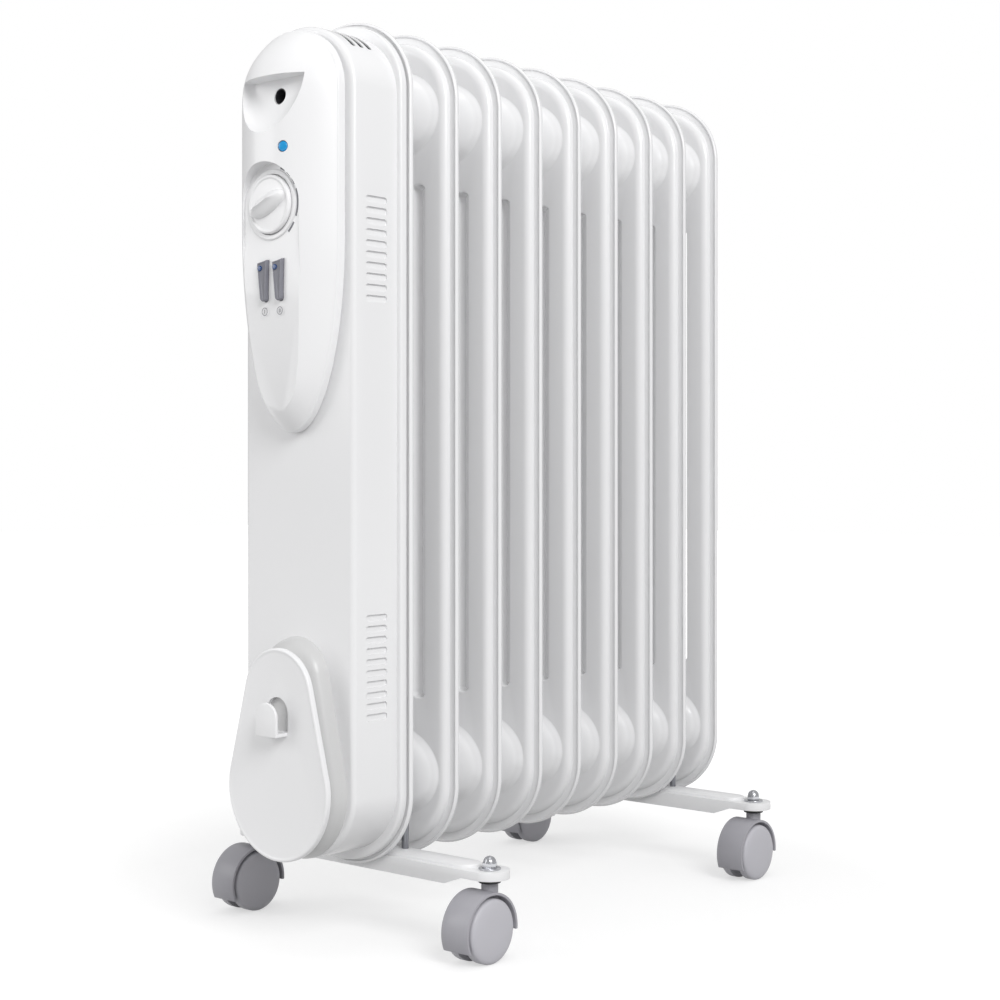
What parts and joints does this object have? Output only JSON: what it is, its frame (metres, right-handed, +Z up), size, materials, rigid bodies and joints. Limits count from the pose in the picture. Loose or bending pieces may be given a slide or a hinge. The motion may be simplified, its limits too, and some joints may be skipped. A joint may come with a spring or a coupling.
{
  "type": "oil filled radiator heater",
  "caption": "Free-standing oil radiator with pressed oil sections, a front control housing, a cord spool and swivel casters on two foot bars.",
  "frame": {"origin": "middle of the footprint, on the floor", "axes": "+Z up, -Y to the controls, X across the sections"},
  "size_m": [0.2524, 0.481, 0.631],
  "materials": {
    "section_enamel": "white stove enamel, glossy",
    "housing_enamel": "white stove enamel, glossy",
    "panel_plastic": "white moulded plastic, glossy",
    "inner_steel": "plated sheet steel",
    "element_steel": "drawn tube",
    "inner_plastic": "black phenolic moulding",
    "rocker_grey": "fine grain",
    "lens_blue": "clear tinted lens",
    "bright_steel": "bright zinc plate",
    "caster_grey": "satin grey moulding",
    "wheel_grey": "light grey nylon",
    "collar_black": "black nylon",
    "foot_enamel": "white powder coat"
  },
  "bodies": {
    "radiator": {"radiator_section_1": "section_enamel", "radiator_section_2": "section_enamel", "radiator_section_3": "section_enamel", "radiator_section_4": "section_enamel", "radiator_section_5": "section_enamel", "radiator_section_6": "section_enamel", "radiator_section_7": "section_enamel", "radiator_section_8": "section_enamel", "radiator_section_9": "section_enamel", "header_domes": "section_enamel", "header_plugs": "section_enamel", "heat_shield": "section_enamel", "housing_shell": "housing_enamel", "control_panel": "panel_plastic", "thermostat_body": "inner_plastic", "switch_body_low": "inner_plastic", "switch_body_high": "inner_plastic", "lamp_lens": "lens_blue", "lamp_holder": "inner_plastic", "panel_screw": "bright_steel", "cord_winder_neck": "panel_plastic", "cord_winder_plate": "panel_plastic", "element_flange": "inner_steel", "heating_element": "element_steel", "thermal_cutout": "inner_steel", "terminal_block": "inner_plastic", "tilt_switch_case": "inner_plastic", "cable_gland": "inner_plastic", "foot_bracket_front": "foot_enamel", "foot_bracket_rear": "foot_enamel", "ubolt_front": "bright_steel", "ubolt_rear": "bright_steel", "ubolt_nuts": "bright_steel", "dome_nuts": "bright_steel", "stem_washers": "bright_steel", "caster_stem_front_left": "collar_black", "caster_stem_front_right": "collar_black", "caster_stem_rear_left": "collar_black", "caster_stem_rear_right": "collar_black"},
    "thermostat_knob": {"thermostat_knob": "panel_plastic", "thermostat_shaft": "inner_steel"},
    "rocker_low": {"rocker_low": "rocker_grey"},
    "rocker_high": {"rocker_high": "rocker_grey"},
    "tilt_pendulum": {"tilt_switch_pendulum": "inner_plastic"},
    "caster_front_left": {"caster_hood_front_left": "caster_grey", "caster_axle_front_left": "bright_steel"},
    "wheel_outer_front_left": {"wheel_outer_front_left": "wheel_grey"},
    "wheel_inner_front_left": {"wheel_inner_front_left": "wheel_grey"},
    "caster_front_right": {"caster_hood_front_right": "caster_grey", "caster_axle_front_right": "bright_steel"},
    "wheel_outer_front_right": {"wheel_outer_front_right": "wheel_grey"},
    "wheel_inner_front_right": {"wheel_inner_front_right": "wheel_grey"},
    "caster_rear_left": {"caster_hood_rear_left": "caster_grey", "caster_axle_rear_left": "bright_steel"},
    "wheel_outer_rear_left": {"wheel_outer_rear_left": "wheel_grey"},
    "wheel_inner_rear_left": {"wheel_inner_rear_left": "wheel_grey"},
    "caster_rear_right": {"caster_hood_rear_right": "caster_grey", "caster_axle_rear_right": "bright_steel"},
    "wheel_outer_rear_right": {"wheel_outer_rear_right": "wheel_grey"},
    "wheel_inner_rear_right": {"wheel_inner_rear_right": "wheel_grey"}
  },
  "joints": [
    {"name": "knob_turn", "type": "hinge", "parent": "radiator", "child": "thermostat_knob", "pos_m": [0, -0.2265, 0.498], "axis": [0, 1, 0], "range_deg": [-195, 105]},
    {"name": "rocker_low_tilt", "type": "hinge", "parent": "radiator", "child": "rocker_low", "pos_m": [-0.00725, -0.222, 0.44775], "axis": [1, 0, 0], "range_deg": [-5, 5]},
    {"name": "rocker_high_tilt", "type": "hinge", "parent": "radiator", "child": "rocker_high", "pos_m": [0.00725, -0.222, 0.44775], "axis": [1, 0, 0], "range_deg": [-5, 5]},
    {"name": "tilt_pendulum_swing", "type": "hinge", "parent": "radiator", "child": "tilt_pendulum", "pos_m": [0, -0.1699, 0.3264], "axis": [0, 1, 0], "range_deg": [-22, 22]},
    {"name": "swivel_front_left", "type": "hinge", "parent": "radiator", "child": "caster_front_left", "pos_m": [-0.11265, -0.1362, 0.05], "axis": [0, 0, 1], "continuous": true},
    {"name": "spin_outer_front_left", "type": "hinge", "parent": "caster_front_left", "child": "wheel_outer_front_left", "pos_m": [-0.11265, -0.1462, 0.0213], "axis": [1, 0, 0], "continuous": true},
    {"name": "spin_inner_front_left", "type": "hinge", "parent": "caster_front_left", "child": "wheel_inner_front_left", "pos_m": [-0.11265, -0.1462, 0.0213], "axis": [1, 0, 0], "continuous": true},
    {"name": "swivel_front_right", "type": "hinge", "parent": "radiator", "child": "caster_front_right", "pos_m": [0.11265, -0.1362, 0.05], "axis": [0, 0, 1], "continuous": true},
    {"name": "spin_outer_front_right", "type": "hinge", "parent": "caster_front_right", "child": "wheel_outer_front_right", "pos_m": [0.11265, -0.1462, 0.0213], "axis": [1, 0, 0], "continuous": true},
    {"name": "spin_inner_front_right", "type": "hinge", "parent": "caster_front_right", "child": "wheel_inner_front_right", "pos_m": [0.11265, -0.1462, 0.0213], "axis": [1, 0, 0], "continuous": true},
    {"name": "swivel_rear_left", "type": "hinge", "parent": "radiator", "child": "caster_rear_left", "pos_m": [-0.11265, 0.1858, 0.05], "axis": [0, 0, 1], "continuous": true},
    {"name": "spin_outer_rear_left", "type": "hinge", "parent": "caster_rear_left", "child": "wheel_outer_rear_left", "pos_m": [-0.11265, 0.1758, 0.0213], "axis": [1, 0, 0], "continuous": true},
    {"name": "spin_inner_rear_left", "type": "hinge", "parent": "caster_rear_left", "child": "wheel_inner_rear_left", "pos_m": [-0.11265, 0.1758, 0.0213], "axis": [1, 0, 0], "continuous": true},
    {"name": "swivel_rear_right", "type": "hinge", "parent": "radiator", "child": "caster_rear_right", "pos_m": [0.11265, 0.1858, 0.05], "axis": [0, 0, 1], "continuous": true},
    {"name": "spin_outer_rear_right", "type": "hinge", "parent": "caster_rear_right", "child": "wheel_outer_rear_right", "pos_m": [0.11265, 0.1758, 0.0213], "axis": [1, 0, 0], "continuous": true},
    {"name": "spin_inner_rear_right", "type": "hinge", "parent": "caster_rear_right", "child": "wheel_inner_rear_right", "pos_m": [0.11265, 0.1758, 0.0213], "axis": [1, 0, 0], "continuous": true}
  ]
}
